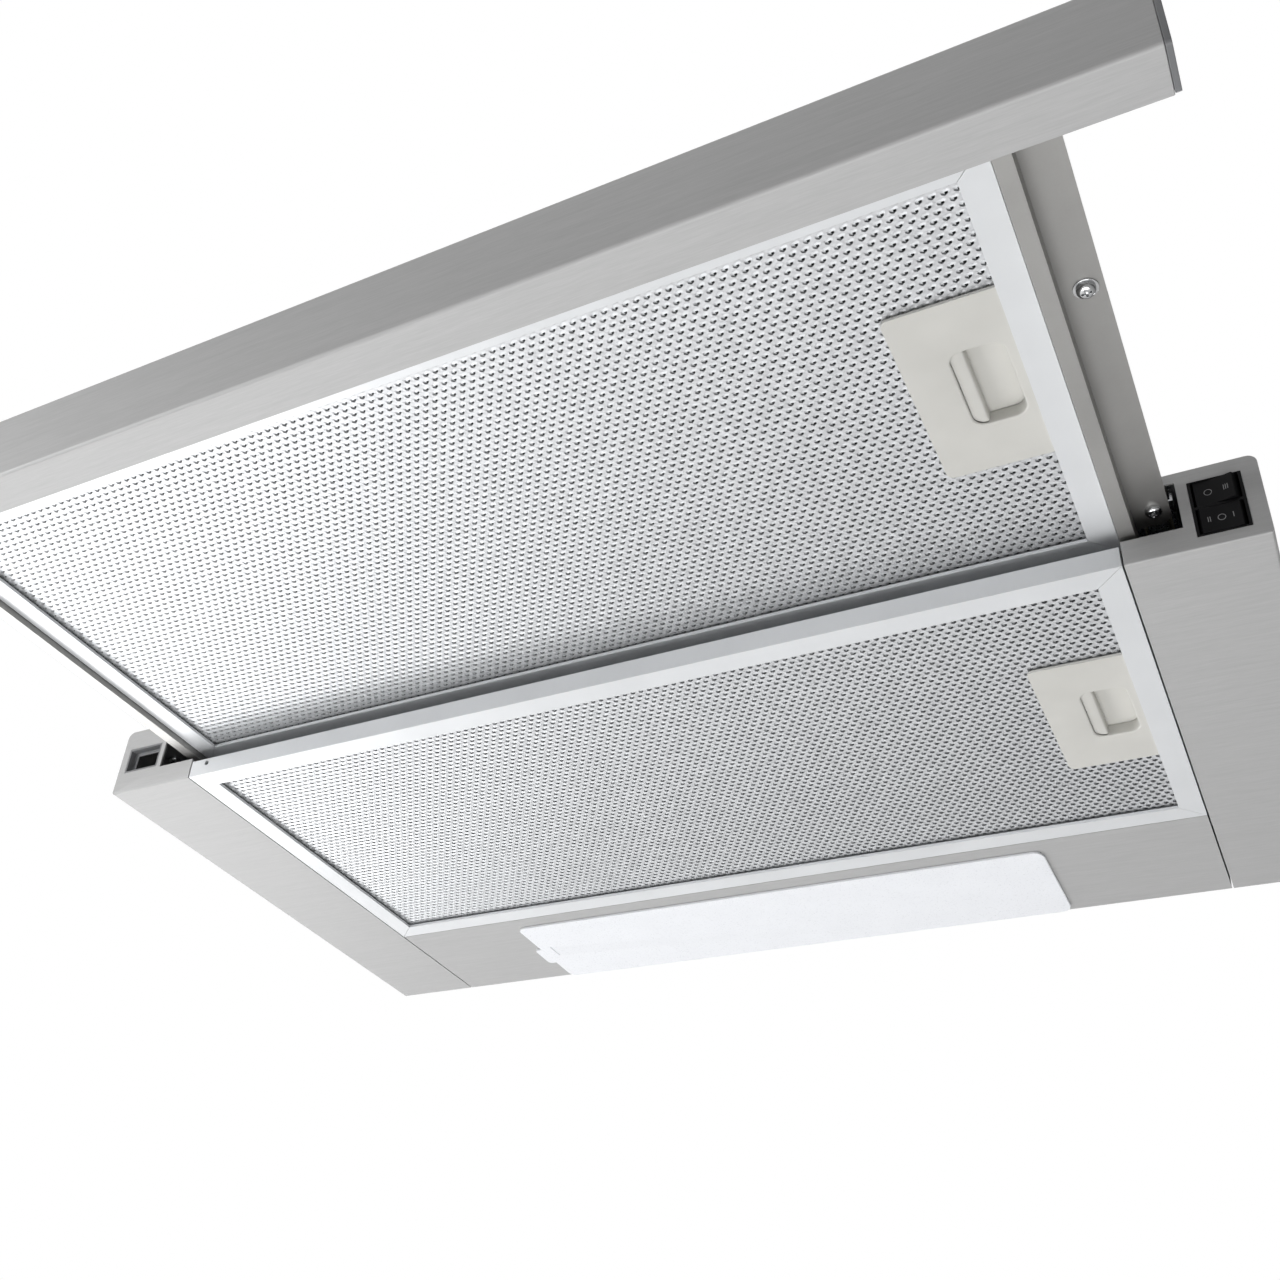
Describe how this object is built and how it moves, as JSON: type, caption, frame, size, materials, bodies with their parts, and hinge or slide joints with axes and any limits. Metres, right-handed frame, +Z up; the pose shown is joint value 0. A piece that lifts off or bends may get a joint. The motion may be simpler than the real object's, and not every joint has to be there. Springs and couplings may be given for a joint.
{
  "type": "pull-out range hood",
  "caption": "Slim under-cabinet cooker hood with a pull-out filter drawer, metal mesh grease filters, rocker switches, a light cover and a round duct outlet on top.",
  "frame": {"origin": "centre of the four cabinet fixing holes, in the top face of the tray", "axes": "+X to the right as the cook sees it, +Y to the rear, +Z up; the drawer pulls out along -Y"},
  "size_m": [0.598, 0.526, 0.2075],
  "materials": {
    "panel_steel": "brushed stainless steel sheet",
    "zinc_steel": "zinc-plated or grey-coated steel sheet",
    "runner_steel": "bright zinc-plated steel",
    "screw_steel": "nickel-plated steel",
    "arm_steel": "satin grey coated steel",
    "frame_aluminium": "white-lacquered rolled aluminium",
    "mesh_aluminium": "bright expanded aluminium mesh",
    "latch_plastic": "warm light grey moulded plastic",
    "grey_plastic": "mid grey moulded plastic",
    "black_plastic": "black moulded plastic",
    "dark_plastic": "dark grey moulded plastic",
    "opal_plastic": "opal diffuser plastic",
    "lamp_white": "white enamelled steel",
    "board_white": "white circuit board",
    "rubber_black": "black rubber",
    "spring_steel": "spring steel wire",
    "cage_plastic": "natural nylon",
    "wheel_plastic": "dark moulded plastic",
    "capacitor_white": "white plastic can"
  },
  "bodies": {
    "root": {"left_side_panel": "panel_steel", "right_side_panel": "panel_steel", "rear_panel": "panel_steel", "tray_frame": "zinc_steel", "motor_cover": "zinc_steel", "outlet_collar": "dark_plastic", "damper_axle": "runner_steel", "left_scroll_half": "dark_plastic", "right_scroll_half": "dark_plastic", "motor_housing": "zinc_steel", "motor_bracket": "zinc_steel", "motor_mounts": "rubber_black", "capacitor": "capacitor_white", "terminal_box": "dark_plastic", "terminal_cover": "dark_plastic", "cable_gland": "black_plastic", "left_runner_outer": "runner_steel", "right_runner_outer": "runner_steel", "panel_screws": "screw_steel", "cover_screws": "screw_steel", "switch_body": "black_plastic", "blanking_frame": "grey_plastic", "lamp_tray": "lamp_white", "led_board": "board_white", "led_driver": "dark_plastic"},
    "drawer": {"left_drawer_arm": "arm_steel", "right_drawer_arm": "arm_steel", "front_crossbar": "arm_steel", "rear_crossbar": "arm_steel", "fascia_panel": "panel_steel", "fascia_left_cap": "grey_plastic", "fascia_right_cap": "grey_plastic", "left_runner_inner": "runner_steel", "right_runner_inner": "runner_steel", "runner_screws": "screw_steel", "runner_washers": "screw_steel", "front_filter_frame": "frame_aluminium", "front_filter_mesh": "mesh_aluminium", "front_latch_plate": "latch_plastic", "front_latch_spring": "spring_steel"},
    "ball_cages": {"left_ball_cage": "cage_plastic", "right_ball_cage": "cage_plastic", "runner_balls": "runner_steel"},
    "front_latch": {"front_latch_slider": "latch_plastic"},
    "rear_filter": {"rear_filter_frame": "frame_aluminium", "rear_filter_mesh": "mesh_aluminium", "rear_latch_plate": "latch_plastic", "rear_latch_spring": "spring_steel"},
    "rear_latch": {"rear_latch_slider": "latch_plastic"},
    "light_rocker": {"light_rocker": "black_plastic"},
    "fan_rocker": {"fan_rocker": "black_plastic"},
    "light_cover": {"light_cover": "opal_plastic"},
    "front_damper": {"front_damper_flap": "dark_plastic"},
    "rear_damper": {"rear_damper_flap": "dark_plastic"},
    "fan_rotor": {"impeller": "wheel_plastic", "fan_shaft": "runner_steel"}
  },
  "joints": [
    {"name": "drawer_slide", "type": "slide", "parent": "root", "child": "drawer", "axis": [0, 1, 0], "range_m": [0, 0.205]},
    {"name": "ball_cage_slide", "type": "slide", "parent": "root", "child": "ball_cages", "axis": [0, 1, 0], "range_m": [0, 0.1025]},
    {"name": "front_latch_slide", "type": "slide", "parent": "drawer", "child": "front_latch", "axis": [-1, 0, 0], "range_m": [0, 0.005], "stiffness_N_per_m": 600, "springref_m": -0.003, "deforming": ["front_latch_spring"]},
    {"name": "rear_filter_drop", "type": "hinge", "parent": "root", "child": "rear_filter", "pos_m": [-0.241, -0.0425, -0.0401], "axis": [0, 1, 0], "range_deg": [0, 35]},
    {"name": "rear_latch_slide", "type": "slide", "parent": "rear_filter", "child": "rear_latch", "axis": [-1, 0, 0], "range_m": [0, 0.005], "stiffness_N_per_m": 600, "springref_m": -0.003, "deforming": ["rear_latch_spring"]},
    {"name": "light_rocker_tilt", "type": "hinge", "parent": "root", "child": "light_rocker", "pos_m": [0.28215, -0.1464, -0.01392], "axis": [0, 0, 1], "range_deg": [0, 16]},
    {"name": "fan_rocker_tilt", "type": "hinge", "parent": "root", "child": "fan_rocker", "pos_m": [0.28215, -0.1464, -0.02797], "axis": [0, 0, 1], "range_deg": [-11, 11]},
    {"name": "light_cover_drop", "type": "hinge", "parent": "root", "child": "light_cover", "pos_m": [0.15835, 0.11265, -0.04145], "axis": [0, -1, 0], "range_deg": [0, 60]},
    {"name": "front_damper_swing", "type": "hinge", "parent": "root", "child": "front_damper", "pos_m": [0, 0, 0.1494], "axis": [-1, 0, 0], "range_deg": [0, 75]},
    {"name": "rear_damper_swing", "type": "hinge", "parent": "root", "child": "rear_damper", "pos_m": [0, 0, 0.1494], "axis": [1, 0, 0], "range_deg": [0, 75]},
    {"name": "fan_spin", "type": "hinge", "parent": "root", "child": "fan_rotor", "pos_m": [0, 0.00804, 0.0714], "axis": [1, 0, 0], "continuous": true}
  ],
  "couplings": [
    {"joint": "ball_cage_slide", "follows": "drawer_slide", "ratio": 0.5}
  ]
}
